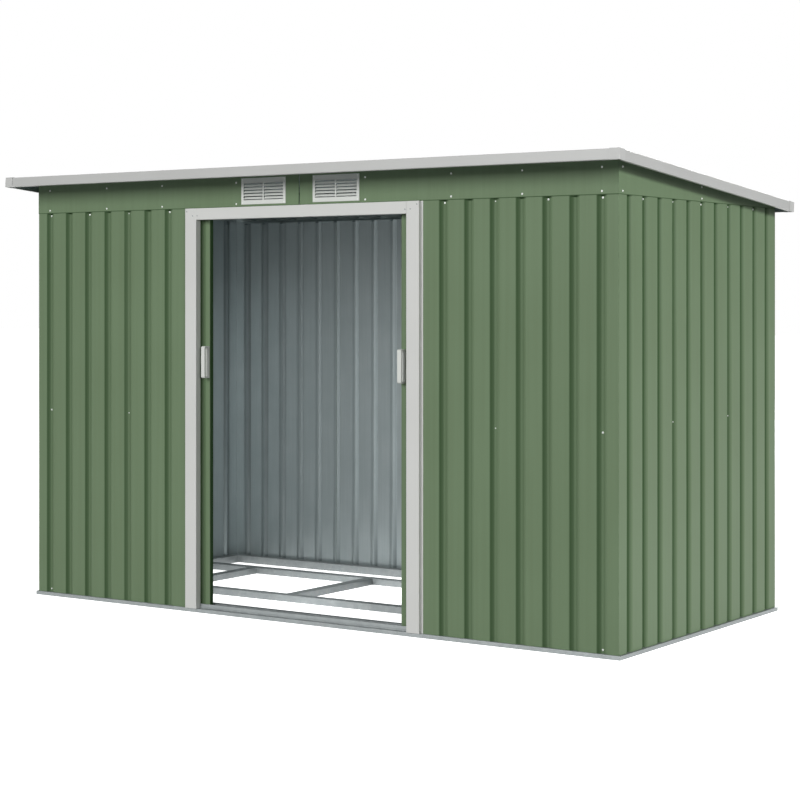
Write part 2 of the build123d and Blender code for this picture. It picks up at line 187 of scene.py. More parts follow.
def on_side(grid, side):
    """Turns a grid drawn for a wall that faces -Y, outside on depth 0 and middle on x 0, to a side of the
    shed."""
    x, depth, z = np.moveaxis(grid, -1, 0)
    places = {
        "front": (x, FRONT_Y + depth, z),
        "back": (-x, BACK_Y - depth, z),
        "right": (HALF_LENGTH - depth, MIDDLE_Y + x, z),
        "left": (depth - HALF_LENGTH, MIDDLE_Y - x, z),
    }
    return np.stack(places[side], axis=-1)


# Hot-dip galvanised steel: dull zinc whose crystals, about 14 mm across, each catch the light a little
# differently, with a fine cloudy grain.
galvanised, tree, where = new_material("galvanised_steel_hot_dipped")
crystal = add(tree, "TexVoronoi", {"Vector": where, "Scale": repeats(14)})
cloud = add(tree, "TexNoise", {"Vector": where, "Scale": repeats(55), "Detail": 4.0})
spread = add(tree, "MapRange", {"Value": crystal.outputs["Color"], "To Min": 0.25, "To Max": 0.75})
mixed = add(tree, "Math", {0: spread.outputs[0], 1: cloud.outputs["Fac"]}, operation="MULTIPLY")
zinc = add(
    tree,
    "Mix",
    {"Factor": mixed.outputs[0], "A": linear("#868c8d"), "B": linear("#b5baba")},
    data_type="RGBA",
)
rough = add(tree, "MapRange", {"Value": crystal.outputs["Color"], "To Min": 0.34, "To Max": 0.5})
grain = add(tree, "TexNoise", {"Vector": where, "Scale": repeats(3)})
relief = add(tree, "Bump", {"Height": grain.outputs["Fac"], "Strength": 0.05, "Distance": 0.001})
shader = add(
    tree,
    "BsdfPrincipled",
    {
        "Base Color": zinc.outputs["Result"],
        "Metallic": 0.5,
        "Roughness": rough.outputs[0],
        "Normal": relief.outputs[0],
    },
)
add(tree, "OutputMaterial", {"Surface": shader.outputs[0]})

ledge = [
    (-LEDGE_OUT, 0),
    (-LEDGE_OUT, LEDGE_HEIGHT),
    (GROOVE_BACK, LEDGE_HEIGHT),
    (GROOVE_BACK, RAIL_TOP),
]
shelf = [(RAIL_DEPTH, RAIL_TOP), (RAIL_DEPTH, 0)]
sill = [
    (UPSTAND_BACK, RAIL_TOP),
    (UPSTAND_BACK, SILL_TRACK),
    (TRACK_FAR_SIDE, SILL_TRACK),
    (TRACK_FAR_SIDE, RIDGE_TOP),
    (RIDGE_BACK, RIDGE_TOP),
    (RIDGE_BACK, SILL_SHELF),
    (SILL_DEPTH, SILL_SHELF),
    (SILL_DEPTH, 0),
]
rails = {"front": (sill, HALF_LENGTH), "back": (shelf, HALF_LENGTH)}
rails |= {"left": (shelf, HALF_DEPTH), "right": (shelf, HALF_DEPTH)}
for side, (inner_legs, half) in rails.items():
    line = bent(ledge + inner_legs)
    place = partial(on_side, side=side)
    channel = folded(line, -RAIL_SHEET, (-half, half), (0, 1, 2), place, mitre=1.0)
    rail = piece(f"rail_{side}", [channel], galvanised)
    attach(rail, "shed")
    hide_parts(f"base_rail_{side}")

# Floor bars: inverted channels of the same galvanised sheet that lie on the ground inside the rails. Two long
# bars run from side to side, and four short ones are bolted between them.
BAR_HALF = 22.0
BAR_HEIGHT = 27.0
BAR_END = HALF_LENGTH - RAIL_DEPTH
MIDDLE_BAR_Y = FRONT_Y + 428
REAR_BAR_Y = BACK_Y - 285
CROSS_BARS_X = (-1010, -382, 382, 1010)
BAR_BEND = 2.5


def channel_line(near, far, foot, top, radius=2.0):
    """A channel that is open below: up from the foot at near, across the top, and down again at far."""
    return bent([(near, foot), (near, top), (far, top), (far, foot)], radius)


bar_line = channel_line(-BAR_HALF, BAR_HALF, 0, BAR_HEIGHT, BAR_BEND)
bars = {
    "floor_bar_middle": (0, -BAR_END, BAR_END, MIDDLE_BAR_Y),
    "floor_bar_rear": (0, -BAR_END, BAR_END, REAR_BAR_Y),
}
for number, x in enumerate(CROSS_BARS_X, start=1):
    bars[f"floor_cross_bar_{number}"] = (1, MIDDLE_BAR_Y + BAR_HALF, REAR_BAR_Y - BAR_HALF, x)
for node, (run_axis, start, end, across) in bars.items():
    shift = np.array([0, across, 0]) if run_axis == 0 else np.array([across, 0, 0])
    axes = (run_axis, 1 - run_axis, 2)
    channel = folded(bar_line, -RAIL_SHEET, (start, end), axes, partial(np.add, shift))
    bar = piece(f"{node}_channel", [channel], galvanised)
    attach(bar, "shed")
    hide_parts(node)

# Walls: roll-formed panels of thin steel, coil-coated sage green outside and bare zinc inside. Flat-floored
# grooves are pressed inwards, each panel's edge laps over the next in a groove, and screws with broad washers
# through the groove floors hold the panels to the base rails and to the header.
SHEET = 1.0
GROOVE_HALF = 20.0
GROOVE_FLOOR_HALF = 5.0
GROOVE_DEPTH = 8.0
LAP_HALF = 4.5
END_GROOVE = 1285.0
DOOR_GROOVE = 646.0
END_SIDE_GROOVE = 571.5
FRONT_GROOVES = 7
SIDE_GROOVES = 11
BACK_GROOVES = 26
FRONT_EDGE = 507.0
HEADER_BOTTOM = 1572.99
WALL_TOP = HEADER_BOTTOM + 12
BACK_WALL_TOP = 1588.79
BACK_WALL_GAP = 14.0
CORNER_GAP = 0.3
WALL_STATIONS = 30
TOP_ROWS = 2
# Painted shade: how far the paint is darkened in the grooves and in a painted shadow under the header's edge,
# with the lee slopes, the shaded side, chosen wall by wall, and a weaker share on the inside.
TOP_SHADE_START = HEADER_BOTTOM - 6
TOP_SHADE_FULL = HEADER_BOTTOM - 4.5
PANEL_BEND = 3.0
LEE_RIM_SHADE = 0.95
LEE_FALL = 0.35
CORNER_SHADE = 0.75
GROOVE_FLOOR_SHADE = 0.3
FAR_THINNING = 6
GROOVE_SHADE = {
    "front": (GROOVE_FLOOR_SHADE, FAR_THINNING, 1),
    "back": (GROOVE_FLOOR_SHADE, FAR_THINNING, 1),
    "left": (0.5, 2, -1),
    "right": (0.9, 2, 1),
}
INSIDE_SHADE = 0.75
BOTTOM_SCREWS = 27
FRONT_MIDDLE_SCREWS = 765
SIDE_MIDDLE_SCREWS = 783
BACK_MIDDLE_SCREWS = 780
FRONT_TOP_SCREWS = 1563
SIDE_TOP_SCREWS = 1564
SCREW_SIZE = 0.68


def ribbed_line(start, end, centres, depth):
    """A ribbed sheet's line: depth times the clipped share of each groove's sloping flank, at the bends of
    all the grooves between start and end."""
    offsets = np.array([-GROOVE_HALF, -GROOVE_FLOOR_HALF, GROOVE_FLOOR_HALF, GROOVE_HALF])
    bends = (np.asarray(centres)[:, None] + offsets).ravel()
    x = np.concatenate([[start], bends[(bends > start + 1) & (bends < end - 1)], [end]])
    nearest = np.abs(x[:, None] - centres).min(axis=1)
    share = np.clip((GROOVE_HALF - nearest) / (GROOVE_HALF - GROOVE_FLOOR_HALF), 0, 1)
    return np.stack([x, depth * share], axis=1)


def wavy(grid):
    """Thin sheet is never quite flat: the depth gets 0.25 mm of three slow sine waves of unlike lengths."""
    x, z = grid[..., 0], grid[..., 2]
    waves = np.sin(x / 61 + 1.3) * np.sin(z / 240)
    waves = waves + np.sin(x / 149 + z / 330) + np.sin(z / 95 + x / 410)
    grid[..., 1] += 0.25 / 3 * waves
    return grid


def wavy_on_side(grid, side):
    """A thin sheet's grid, made wavy and then turned to a side of the shed."""
    return on_side(wavy(grid), side)


def painted_groove_shade(
    line, depth_line, stations, floor_shade=GROOVE_FLOOR_SHADE, thinning=FAR_THINNING, lee=1, top_rows=0
):
    """Painted shade: how much darker the paint is made in a ribbed sheet's grooves, where shade falls, as the
    photograph shows them, for each station along it and each point of its line. Lee slopes, the shaded side,
    have 0.95 at the rim and 0.35 less at the floor; lee, 1 or -1, says which slopes those are. The other
    slopes have the larger of the floor's amount and 0.75, times the depth to the power of thinning. Floors
    have the floor's amount times the depth, which runs from 0 to 1. The top rows, in a painted shadow under
    the header's edge, have at least the depth itself."""
    step = np.gradient(line, axis=0)
    slope = np.abs(step[:, 1]) / np.abs(step[:, 0]).clip(1e-6)
    flank = (slope / (GROOVE_DEPTH / (GROOVE_HALF - GROOVE_FLOOR_HALF))).clip(0, 1)
    depth = ((line[:, 1] - depth_line) / GROOVE_DEPTH).clip(0, 1)
    far_slope = max(floor_shade, CORNER_SHADE) * depth**thinning
    slopes = np.where(step[:, 0] * step[:, 1] * lee > 0, LEE_RIM_SHADE - LEE_FALL * depth, far_slope)
    painted_shade = np.tile(flank * slopes + (1 - flank) * floor_shade * depth, (stations, 1))
    painted_shade[stations - top_rows :] = np.maximum(painted_shade[0], depth)
    return painted_shade


def lay_painted_shade(made, painted_shades, insides=None):
    """Stores the painted shade of each sheet of a piece as a point attribute, for its outside grid and then
    its inside grid, which has the same painted shade where no other is given."""
    pairs = zip(painted_shades, painted_shades if insides is None else insides)
    values = np.concatenate([painted_shade.ravel() for pair in pairs for painted_shade in pair])
    made.data.attributes.new("painted_groove_shade", "FLOAT", "POINT").data.foreach_set("value", values)


def wall_parts(side, start, end, centres, joints, top, flip=1):
    """A wall's panels and the painted shade of their grooves. Each panel runs from joint to joint; at a
    joint, which lies in a groove, the left panel's edge passes over the right panel's by the lap, one sheet
    further out."""
    cuts = [start, *(centres[joint] for joint in joints), end]
    heights = np.linspace(LEDGE_HEIGHT, TOP_SHADE_START, WALL_STATIONS - TOP_ROWS)
    heights = np.append(heights, [TOP_SHADE_FULL, top])
    place = partial(wavy_on_side, side=side)
    floor_shade, thinning, lee = GROOVE_SHADE[side]
    parts, painted_shades = [], []
    for left, right in zip(cuts, cuts[1:]):
        panel_left = left if left == start else left - LAP_HALF
        panel_right = right if right == end else right + LAP_HALF
        line = ribbed_line(panel_left, panel_right, centres, GROOVE_DEPTH)
        if right != end:
            line[line[:, 0] > right - 2 * LAP_HALF, 1] -= SHEET
        line = bent(line, PANEL_BEND)
        painted_shades.append(painted_groove_shade(line, 0.0, WALL_STATIONS, floor_shade, thinning, lee * flip, TOP_ROWS))
        parts.append(folded(line * (flip, 1), SHEET * flip, heights, (2, 0, 1), place))
    return parts, painted_shades


def tube_part(grid):
    """A closed tube from a grid whose second direction runs round: quads between the rings and, at both
    ends, quads that join opposite points of the end ring (the ring's count is even)."""
    rings, round_count = grid.shape[:2]
    number = np.arange(rings * round_count).reshape(rings, round_count)
    after = np.roll(number, -1, axis=1)
    sides = np.stack([number[:-1], after[:-1], after[1:], number[1:]], axis=-1).reshape(-1, 4)
    half = round_count // 2
    near = np.arange(half - 1)
    far = round_count - 1 - near
    across = np.stack([near, near + 1, far - 1, far], axis=1)
    end = number[-1][across]
    start = number[0][across[:, ::-1]]
    faces = np.concatenate([sides, end, start])
    points = grid.reshape(-1, 3)
    return points, facing_out(points, faces), np.zeros(len(faces), int)


def screw_parts(places, facing, scale=1.0):
    """Screws with washers: one outline of radius and height, turned about facing and set down at each
    place."""
    washer = [(5.5, -0.6), (5.5, 0.7), (4.6, 1.2), (3.6, 1.3)]
    head = [(3.3, 2.4), (2.3, 3.2), (1.0, 3.5)]
    outline = np.array(washer + head) * scale
    turn = np.linspace(0, 2 * pi, 12, endpoint=False)
    facing = np.asarray(facing, float) / np.linalg.norm(facing)
    right = np.cross(facing, (0.0, 0.31, 1.0))
    right /= np.linalg.norm(right)
    up = np.cross(facing, right)
    circle = np.cos(turn)[:, None] * right + np.sin(turn)[:, None] * up
    points, faces, sides = tube_part(outline[:, :1, None] * circle + outline[:, 1:, None] * facing)
    starts = np.arange(len(places))[:, None, None] * len(points)
    points = (np.asarray(places, float)[:, None] + points).reshape(-1, 3)
    return [(points, (faces + starts).reshape(-1, 4), np.tile(sides, len(places)))]


def wall_places(side, across, heights, depth):
    """Points on a wall for each of the places across it, at each of the heights, at one depth."""
    x, z = np.meshgrid(across, heights)
    grid = np.stack([x.ravel(), np.full(x.size, depth), z.ravel()], axis=-1)
    return on_side(grid.astype(float), side)


def lay_screws(name, side, rows, depth, size):
    """One piece of all the screws on a side, from rows of places across it and their heights."""
    spots = np.concatenate([wall_places(side, across, heights, depth) for across, heights in rows])
    fixings = piece(name, screw_parts(spots, outwards[side], size), plated)
    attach(fixings, "shed")


def plain_finish(name, tones, drift, roughness, grain=None, relief=None, rough_by="drift", metallic=0.0):
    """A plain finish: a colour that drifts slowly between two tones, and where it has one, a fine grain in
    relief. Drift and grain are each a size in mm and a detail, one of them sets the roughness between its two
    values, and relief is the grain's strength and distance."""
    material, tree, where = new_material(name)
    patterns = {}
    for pattern, size in (("drift", drift), ("grain", grain)):
        if size:
            size_mm, detail = size
            noise = add(tree, "TexNoise", {"Vector": where, "Scale": repeats(size_mm), "Detail": detail})
            patterns[pattern] = noise.outputs["Fac"]
    dark, pale = map(linear, tones)
    colour = add(tree, "Mix", {"Factor": patterns["drift"], "A": dark, "B": pale}, data_type="RGBA")
    low, high = roughness
    rough = add(tree, "MapRange", {"Value": patterns[rough_by], "To Min": low, "To Max": high})
    looks = {"Base Color": colour.outputs["Result"], "Metallic": metallic, "Roughness": rough.outputs[0]}
    if relief:
        strength, distance = relief
        bump = add(tree, "Bump", {"Height": patterns["grain"], "Strength": strength, "Distance": distance})
        looks["Normal"] = bump.outputs[0]
    shader = add(tree, "BsdfPrincipled", looks)
    add(tree, "OutputMaterial", {"Surface": shader.outputs[0]})
    return material


# Coil-coated steel, sage green: an even satin paint film put on before forming. Close up it has a fine orange
# peel, faint lengthways roller streaks and slow drifts in tone between parts of the coil. In the grooves it
# is darkened towards a deep green by painted shade, the sheet's groove shade attribute, and made rougher
# there.
green_paint, tree, where = new_material("coil_coated_steel_sage_green")
lengthways = add(tree, "Mapping", {"Vector": where, "Scale": (1.0, 1.0, 0.015)})
drift = add(tree, "TexNoise", {"Vector": where, "Scale": repeats(460), "Detail": 2.0})
streak = add(tree, "TexNoise", {"Vector": lengthways.outputs[0], "Scale": repeats(16), "Detail": 2.0})
tone = add(tree, "Math", {0: drift.outputs["Fac"], 1: streak.outputs["Fac"]}, operation="ADD")
tone = add(tree, "MapRange", {"Value": tone.outputs[0], "From Min": 0.7, "From Max": 1.3})
green = add(
    tree,
    "Mix",
    {"Factor": tone.outputs[0], "A": linear("#687c5e"), "B": linear("#6d8264")},
    data_type="RGBA",
)
# Painted shade: the groove shade attribute mixes the green towards a dark green where shade falls in the
# grooves, and raises the roughness there.
painted_shade = add(tree, "Attribute", {}, attribute_name="painted_groove_shade")
groove_shaded = add(
    tree,
    "Mix",
    {"Factor": painted_shade.outputs["Fac"], "A": green.outputs["Result"], "B": linear("#314b2a")},
    data_type="RGBA",
)
peel = add(tree, "TexNoise", {"Vector": where, "Scale": repeats(2.4), "Detail": 1.0})
satin = add(tree, "MapRange", {"Value": streak.outputs["Fac"], "To Min": 0.4, "To Max": 0.5})
rough = add(
    tree,
    "MapRange",
    {"Value": painted_shade.outputs["Fac"], "To Min": satin.outputs[0], "To Max": 0.85},
)
relief = add(tree, "Bump", {"Height": peel.outputs["Fac"], "Strength": 0.03, "Distance": 0.0006})
shader = add(
    tree,
    "BsdfPrincipled",
    {
        "Base Color": groove_shaded.outputs["Result"],
        "Specular IOR Level": 0.15,
        "Roughness": rough.outputs[0],
        "Normal": relief.outputs[0],
    },
)
add(tree, "OutputMaterial", {"Surface": shader.outputs[0]})

# Zinc-coated steel, rolled: the unpainted side of the same sheet. It mirrors the floor bars and the doorway's
# light in a soft smear, drawn out lengthways by the rolling, and is darkened by the same painted groove
# shade.
zinc_back, tree, where = new_material("zinc_coated_steel_rolled")
lengthways = add(tree, "Mapping", {"Vector": where, "Scale": (1.0, 1.0, 0.02)})
streak = add(tree, "TexNoise", {"Vector": lengthways.outputs[0], "Scale": repeats(5), "Detail": 4.0})
cloud = add(tree, "TexNoise", {"Vector": where, "Scale": repeats(120), "Detail": 3.0})
tone = add(tree, "Math", {0: streak.outputs["Fac"], 1: cloud.outputs["Fac"]}, operation="MULTIPLY")
tone = add(tree, "MapRange", {"Value": tone.outputs[0], "From Min": 0.12, "From Max": 0.4})
zinc = add(
    tree,
    "Mix",
    {"Factor": tone.outputs[0], "A": linear("#a0aaab"), "B": linear("#a9b2b3")},
    data_type="RGBA",
)
# Painted shade: the groove shade attribute mixes the zinc towards a dark grey in the grooves.
painted_shade = add(tree, "Attribute", {}, attribute_name="painted_groove_shade")
groove_shaded = add(
    tree,
    "Mix",
    {"Factor": painted_shade.outputs["Fac"], "A": zinc.outputs["Result"], "B": linear("#4f595a")},
    data_type="RGBA",
)
rough = add(tree, "MapRange", {"Value": streak.outputs["Fac"], "To Min": 0.3, "To Max": 0.36})
relief = add(tree, "Bump", {"Height": streak.outputs["Fac"], "Strength": 0.02, "Distance": 0.0006})
shader = add(
    tree,
    "BsdfPrincipled",
    {
        "Base Color": groove_shaded.outputs["Result"],
        "Metallic": 0.75,
        "Roughness": rough.outputs[0],
        "Normal": relief.outputs[0],
    },
)
add(tree, "OutputMaterial", {"Surface": shader.outputs[0]})

# Zinc-plated screws with pressed washers: small bright caps, a little uneven from tumbling in the bath.
plated = plain_finish(
    "zinc_plated_steel_screws",
    tones=("#d6dad6", "#f2f4f0"),
    drift=(4, 2.0),
    roughness=(0.25, 0.45),
    metallic=0.2,
)

outwards = {"front": (0, -1, 0), "back": (0, 1, 0), "left": (-1, 0, 0), "right": (1, 0, 0)}
front_centres = np.linspace(-END_GROOVE, -DOOR_GROOVE, FRONT_GROOVES)
side_centres = np.linspace(-END_SIDE_GROOVE, END_SIDE_GROOVE, SIDE_GROOVES)
back_centres = np.linspace(-END_GROOVE, END_GROOVE, BACK_GROOVES)
front_joints, side_joints, back_joints = [4], [3, 7], range(5, 25, 5)
side_edge = HALF_DEPTH - SHEET - CORNER_GAP
back_top = BACK_WALL_TOP - BACK_WALL_GAP
walls = {
    "front_wall_left": ("front", -HALF_LENGTH, -FRONT_EDGE, front_centres, front_joints, WALL_TOP, 1),
    "front_wall_right": ("front", -HALF_LENGTH, -FRONT_EDGE, front_centres, front_joints, WALL_TOP, -1),
    "left_wall": ("left", -side_edge, side_edge, side_centres, side_joints, WALL_TOP, 1),
    "right_wall": ("right", -side_edge, side_edge, side_centres, side_joints, WALL_TOP, 1),
    "back_wall": ("back", -HALF_LENGTH, HALF_LENGTH, back_centres, back_joints, back_top, 1),
}
for node, layout in walls.items():
    parts, painted_shades = wall_parts(*layout)
    wall = piece(f"{node}_sheets", parts, green_paint, zinc_back)
    # Painted shade in the grooves, on the outside and, weaker, on the inside.
    lay_painted_shade(wall, painted_shades, [INSIDE_SHADE * painted_shade for painted_shade in painted_shades])
    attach(wall, "shed")
    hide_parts(node)

both_fronts = np.concatenate([front_centres, -front_centres[::-1]])
side_rows = [(side_centres[1::2], [SIDE_TOP_SCREWS]), (side_centres[side_joints], [SIDE_MIDDLE_SCREWS])]
screw_rows = {
    "front": [
        (both_fronts[[0, 2, 4, 6, 7, 9, 11, 13]], [FRONT_TOP_SCREWS]),
        (both_fronts[[0, 4, 9, 13]], [FRONT_MIDDLE_SCREWS]),
        (both_fronts[[0, 13]], [BOTTOM_SCREWS]),
    ],
    "left": side_rows,
    "right": side_rows,
    "back": [(back_centres[::5], [BOTTOM_SCREWS, BACK_MIDDLE_SCREWS, SIDE_TOP_SCREWS])],
}
for side, rows in screw_rows.items():
    lay_screws(f"wall_screws_{side}", side, rows, GROOVE_DEPTH, SCREW_SIZE)

# Header and gables: flat sheets of the same coil-coated steel over the walls' top edges, up to the roof. The
# front header is in two halves that meet over the doorway, each with an opening behind its vent. The gables
# are wedges that follow the roof's fall. Rows of screws hold both to the walls and to the roof's frame.
HEADER_TOP = 1697.18
HEADER_SEAM_HALF = 1.4
VENT_X = 170.5
VENT_HALF_WIDTH = 107.0
VENT_BOTTOM = HEADER_BOTTOM + 8.5
VENT_TOP = HEADER_TOP - 14.7
VENT_BORDER = 12.0
VENT_TOP_BORDER = 12.0
VENT_BOTTOM_BORDER = 16.8
EDGE_SHADE = 4.0
SEAM_SHADE = 2.5
HEADER_SCREWS_X = (-1286, -972, -678, -303, 303, 678, 972, 1286)
HEADER_SCREW_ROWS = (1585, 1667)
GABLE_FRONT_SCREWS = 623
GABLE_MIDDLE_SCREWS = 10
GABLE_MIDDLE_ROWS = (1585, 1627)
SIDES = {"left": -1, "right": 1}


def flat_sheet(x, z, depth, thickness, side, keep=None):
    """A flat sheet on a grid of x by z: the outside at one depth, the inside one thickness behind it."""
    grids = []
    for level in (depth, depth + thickness):
        grid = np.stack(np.broadcast_arrays(x[None, :], level, z[:, None]), axis=-1).astype(float)
        grids.append(on_side(grid, side))
    return sheet_part(*grids, keep)


window_x = (VENT_X - VENT_HALF_WIDTH + VENT_BORDER, VENT_X + VENT_HALF_WIDTH - VENT_BORDER)
window_z = (VENT_BOTTOM + VENT_BORDER, VENT_TOP - VENT_BORDER)
header_x = np.array([HEADER_SEAM_HALF, HEADER_SEAM_HALF + SEAM_SHADE, *window_x, HALF_LENGTH + SHEET])
header_z = np.array([HEADER_BOTTOM, HEADER_BOTTOM + EDGE_SHADE, *window_z, HEADER_TOP])
solid = np.ones((4, 4), bool)
solid[2, 2] = False
# Painted shade: a dark line along the header's bottom edge and down the seam over the doorway, where shade
# falls between the parts.
seam_and_edge_shade = np.zeros((5, 5))
seam_and_edge_shade[:, 0] = 1
seam_and_edge_shade[0] = 1
for side, sign in SIDES.items():
    sheet = flat_sheet(header_x * sign, header_z, -SHEET, SHEET, "front", solid)
    header = piece(f"header_sheet_{side}", [sheet], green_paint, zinc_back)
    lay_painted_shade(header, [seam_and_edge_shade])
    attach(header, "shed")
    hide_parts(f"front_header_{side}")

gable_z = np.array(
    [[HEADER_BOTTOM] * 2, [HEADER_BOTTOM + EDGE_SHADE] * 2, [HEADER_TOP, BACK_WALL_TOP]]
)
gable_y = np.tile([FRONT_Y, BACK_Y], (3, 1))
# Painted shade: a dark band along the gable's bottom edge.
gable_edge_shade = np.repeat([[1.0], [0.0], [0.0]], 2, axis=1)
for side, sign in SIDES.items():
    wedge = [
        np.stack([np.full((3, 2), sign * x), gable_y, gable_z], axis=-1)
        for x in (HALF_LENGTH + SHEET, HALF_LENGTH)
    ]
    gable = piece(f"gable_sheet_{side}", [sheet_part(*wedge)], green_paint, zinc_back)
    lay_painted_shade(gable, [gable_edge_shade])
    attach(gable, "shed")
    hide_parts(f"{side}_gable")

header_rows = {"front": [(HEADER_SCREWS_X, HEADER_SCREW_ROWS)]}
for side, sign in (("right", -1), ("left", 1)):
    at_front = ([sign * GABLE_FRONT_SCREWS], HEADER_SCREW_ROWS)
    at_middle = ([sign * GABLE_MIDDLE_SCREWS], GABLE_MIDDLE_ROWS)
    header_rows[side] = [at_front, at_middle]
for side, rows in header_rows.items():
    lay_screws(f"header_screws_{side}", side, rows, -SHEET, SCREW_SIZE)

# Vents: injection-moulded light grey plates screwed over the header's openings. Each has a rolled rim, a
# middle bar and two columns of six blades that slope down and outwards, so that rain runs off and air passes.
# The plate comes down over the top blade as a brow.
VENT_PROUD = 2.2
VENT_WALL = 1.6
VENT_BROW = 6.0
MULLION_HALF = 3.0
BLADES = 6
BLADE_WALL = 1.2
BLADE_BEND = 2.0
BLADE_PLACE = 0.67
VENT_SCREWS_X = 100.0
VENT_SCREW_INSET = 6.0
VENT_SCREW_SIZE = 0.45
louvre_z = (VENT_BOTTOM + VENT_BOTTOM_BORDER, VENT_TOP - VENT_TOP_BORDER)
opening_z = (louvre_z[0], louvre_z[1] - VENT_BROW)


def in_front(grid):
    """Places a grid by the front wall's face."""
    return on_side(grid, "front")


# Moulded polypropylene, light grey: an even body colour with a spark-eroded texture, drawn coarser than life
# so that it shows, and a dull sheen.
grey_plastic = plain_finish(
    "polypropylene_moulded_light_grey",
    tones=("#ced1cc", "#d8dbd6"),
    drift=(60, 2.0),
    grain=(1.1, 2.0),
    roughness=(0.45, 0.6),
    relief=(0.06, 0.0004),
    rough_by="grain",
)


def vent_plate(sign):
    """The plate on a grid of x by z. It rises by the rim's quarter circle, 0.3 + 0.7 sqrt(1 - (1 - d)^2) of
    its height, where d is the distance to the nearest edge as a share of the rim; cells inside the two
    windows are left out."""
    rim = np.array([0, 0.25, 0.6, 1.2, 2.4])
    left, right = VENT_X - VENT_HALF_WIDTH, VENT_X + VENT_HALF_WIDTH
    x = np.concatenate(
        [
            left + rim,
            [window_x[0], VENT_X - MULLION_HALF, VENT_X + MULLION_HALF, window_x[1]],
            right - rim[::-1],
        ]
    )
    z = np.concatenate([VENT_BOTTOM + rim, opening_z, VENT_TOP - rim[::-1]])
    edge_x = np.minimum(x - left, right - x)
    edge_z = np.minimum(z - VENT_BOTTOM, VENT_TOP - z)
    edge = np.minimum(edge_x[None, :], edge_z[:, None])
    roll = 0.3 + 0.7 * np.sqrt(1 - (1 - np.clip(edge / rim[-1], 0, 1)) ** 2)
    middle_x = (x[:-1] + x[1:]) / 2
    middle_z = (z[:-1] + z[1:]) / 2
    in_column = (middle_x > window_x[0]) & (middle_x < window_x[1])
    in_column &= np.abs(middle_x - VENT_X) > MULLION_HALF
    in_row = (middle_z > opening_z[0]) & (middle_z < opening_z[1])
    face = -SHEET - VENT_PROUD * roll
    grids = []
    for depth in (face, np.minimum(face + VENT_WALL, -SHEET)):
        grid = np.stack(np.broadcast_arrays(sign * x[None, :], depth, z[:, None]), axis=-1)
        grids.append(in_front(grid))
    return sheet_part(*grids, ~(in_row[:, None] & in_column[None, :]))


def vent_blades(sign):
    """Blades: a line in depth and height that falls outwards, carried across each column and repeated up the
    window to the top one, whose root is behind the plate. Under each blade's foot a slot stays open."""
    pitch = (louvre_z[1] - louvre_z[0]) / BLADES
    share = np.array([(5.5, 0.33), (2.2, 0.18), (-1.7, -0.24), (-2.6, -0.36)])
    blade_line = bent(share * (1, pitch), BLADE_BEND, steps=4)
    parts = []
    reaches = (MULLION_HALF, VENT_HALF_WIDTH - VENT_BORDER)
    for column in (-1, 1):
        ends = sorted(sign * (VENT_X + column * reach) for reach in reaches)
        for height in louvre_z[0] + pitch * (np.arange(BLADES) + BLADE_PLACE):
            parts.append(folded(blade_line + (0, height), BLADE_WALL, ends, (0, 1, 2), in_front))
    return parts


for side, sign in SIDES.items():
    vent = piece(f"vent_louvre_{side}", [vent_plate(sign), *vent_blades(sign)], grey_plastic, grey_plastic)
    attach(vent, "shed")
    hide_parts(f"vent_{side}")
    corners = sign * (VENT_X + np.array([-VENT_SCREWS_X, VENT_SCREWS_X]))
    heights = [VENT_BOTTOM + VENT_SCREW_INSET, VENT_TOP - VENT_SCREW_INSET]
    vent_depth = -SHEET - VENT_PROUD
    lay_screws(f"vent_screws_{side}", "front", [(corners, heights)], vent_depth, VENT_SCREW_SIZE)

# Door frame: jambs and a lintel folded from light grey coil-coated steel. They stand proud of the wall, wrap
# the wall sheets' edges and turn back into the doorway; three small rivets hold each upper corner.
JAMB_INNER = 493.0
JAMB_OUTER = 549.0
JAMB_PROUD = 14.0
JAMB_FLANGE = 9.0
REVEAL_BACK = 12.2
DOORWAY_TOP = HEADER_BOTTOM - 45
TRACK_TOP = HEADER_BOTTOM - 2
TRACK_BOTTOM = TRACK_TOP - 22
FRAME_GAP = 0.2
RIVETS = np.array([(488, 1544), (511, 1544), (540, 1561)], float)
RIVET_SIZE = 0.5

# Coil-coated steel, light grey: the same satin film as the walls in a warm light grey, with its orange peel.
COATING = {"grain": (2.4, 1.0), "roughness": (0.36, 0.48), "relief": (0.03, 0.0006)}
grey_paint = plain_finish(
    "coil_coated_steel_light_grey", tones=("#cbccc9", "#d3d4d1"), drift=(300, 3.0), **COATING
)

jamb_line = bent(
    [
        (JAMB_OUTER + JAMB_FLANGE, -SHEET),
        (JAMB_OUTER, -SHEET),
        (JAMB_OUTER, -JAMB_PROUD),
        (JAMB_INNER, -JAMB_PROUD),
        (JAMB_INNER, REVEAL_BACK),
    ]
)
jamb_line = np.insert(jamb_line, -1, (JAMB_INNER, GROOVE_BACK - FRAME_GAP), axis=0)
jamb_heights = (LEDGE_HEIGHT + FRAME_GAP, RAIL_TOP + FRAME_GAP, TRACK_BOTTOM - FRAME_GAP, HEADER_BOTTOM)
uncut = np.ones((3, len(jamb_line) - 1), bool)
uncut[[0, 2], -1] = False
for side, sign in SIDES.items():
    strip = folded(jamb_line * (sign, 1), SHEET * -sign, jamb_heights, (2, 0, 1), in_front, keep=uncut)
    jamb = piece(f"jamb_{side}_strip", [strip], grey_paint, grey_paint)
    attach(jamb, "shed")
    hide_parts(f"{side}_jamb")

lintel_line = bent(
    [
        (0, HEADER_BOTTOM),
        (-JAMB_PROUD, HEADER_BOTTOM),
        (-JAMB_PROUD, DOORWAY_TOP),
        (REVEAL_BACK, DOORWAY_TOP),
    ]
)
strip = folded(lintel_line, SHEET, (-JAMB_INNER, JAMB_INNER), (0, 1, 2), in_front)
lintel = piece("lintel_strip", [strip], grey_paint, grey_paint)
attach(lintel, "shed")
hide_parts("lintel")

